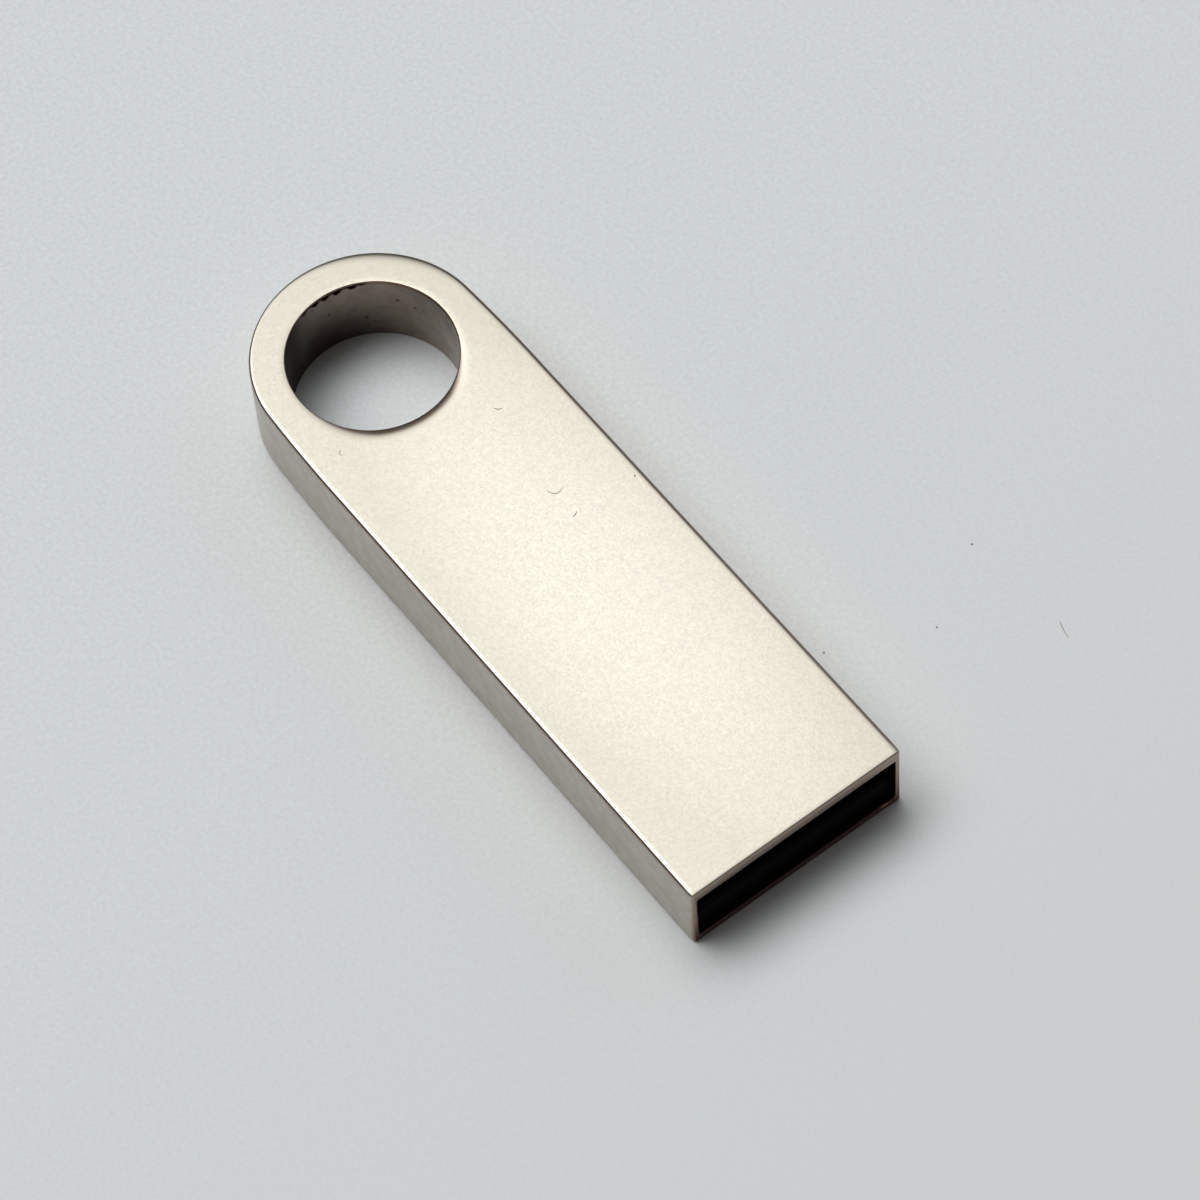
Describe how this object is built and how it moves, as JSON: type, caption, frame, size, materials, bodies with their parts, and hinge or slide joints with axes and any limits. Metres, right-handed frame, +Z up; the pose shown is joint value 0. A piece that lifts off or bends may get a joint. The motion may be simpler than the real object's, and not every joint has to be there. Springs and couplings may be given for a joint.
{
  "type": "usb flash drive",
  "caption": "Slim capless metal memory stick: flat hollow bar, open at the plug end over a contact tongue, rounded at the other end round a key-ring eye.",
  "frame": {"origin": "middle of the underside of the whole object", "axes": "+X along the stick and out of the plug mouth, +Z up with the plug contacts facing it, +Y to the left of +X"},
  "size_m": [0.039, 0.0122, 0.0046],
  "materials": {
    "plated_zinc": "satin nickel plate on a zinc casting, polished along its edges",
    "carrier_plastic": "matt black moulded plastic",
    "epoxy_glue": "cured amber epoxy",
    "laminate": "glass laminate under black solder mask",
    "mould_compound": "matt black epoxy moulding compound",
    "gold_plate": "hard gold plate over nickel and copper",
    "copper_foil": "etched copper foil",
    "gold_wire": "drawn gold bond wire",
    "silicon": "ground silicon die",
    "die_film": "die-attach film",
    "capacitor_ceramic": "tan capacitor ceramic",
    "resistor_body": "dark glazed resistor body",
    "ferrite": "sintered dark grey ferrite",
    "crystal_can": "gold-toned lid on a ceramic crystal package",
    "solder": "bright reflowed solder and tinned caps"
  },
  "bodies": {
    "root": {"casing": "plated_zinc", "carrier_tray": "carrier_plastic", "clamp_block": "carrier_plastic", "adhesive_pads": "epoxy_glue", "substrate": "laminate", "mould_cap": "mould_compound", "contact_vbus": "gold_plate", "contact_data_minus": "gold_plate", "contact_data_plus": "gold_plate", "contact_ground": "gold_plate", "test_pads": "gold_plate", "plated_vias": "copper_foil", "bond_fingers": "gold_plate", "copper_traces": "copper_foil", "flash_die_inner": "silicon", "flash_die_outer": "silicon", "controller_die": "silicon", "die_attach_films": "die_film", "flash_bond_wires": "gold_wire", "controller_bond_wires": "gold_wire", "decoupling_capacitors": "capacitor_ceramic", "resistors": "resistor_body", "ferrite_bead": "ferrite", "clock_crystal": "crystal_can", "component_end_caps": "solder", "solder_joints": "solder"}
  },
  "joints": []
}
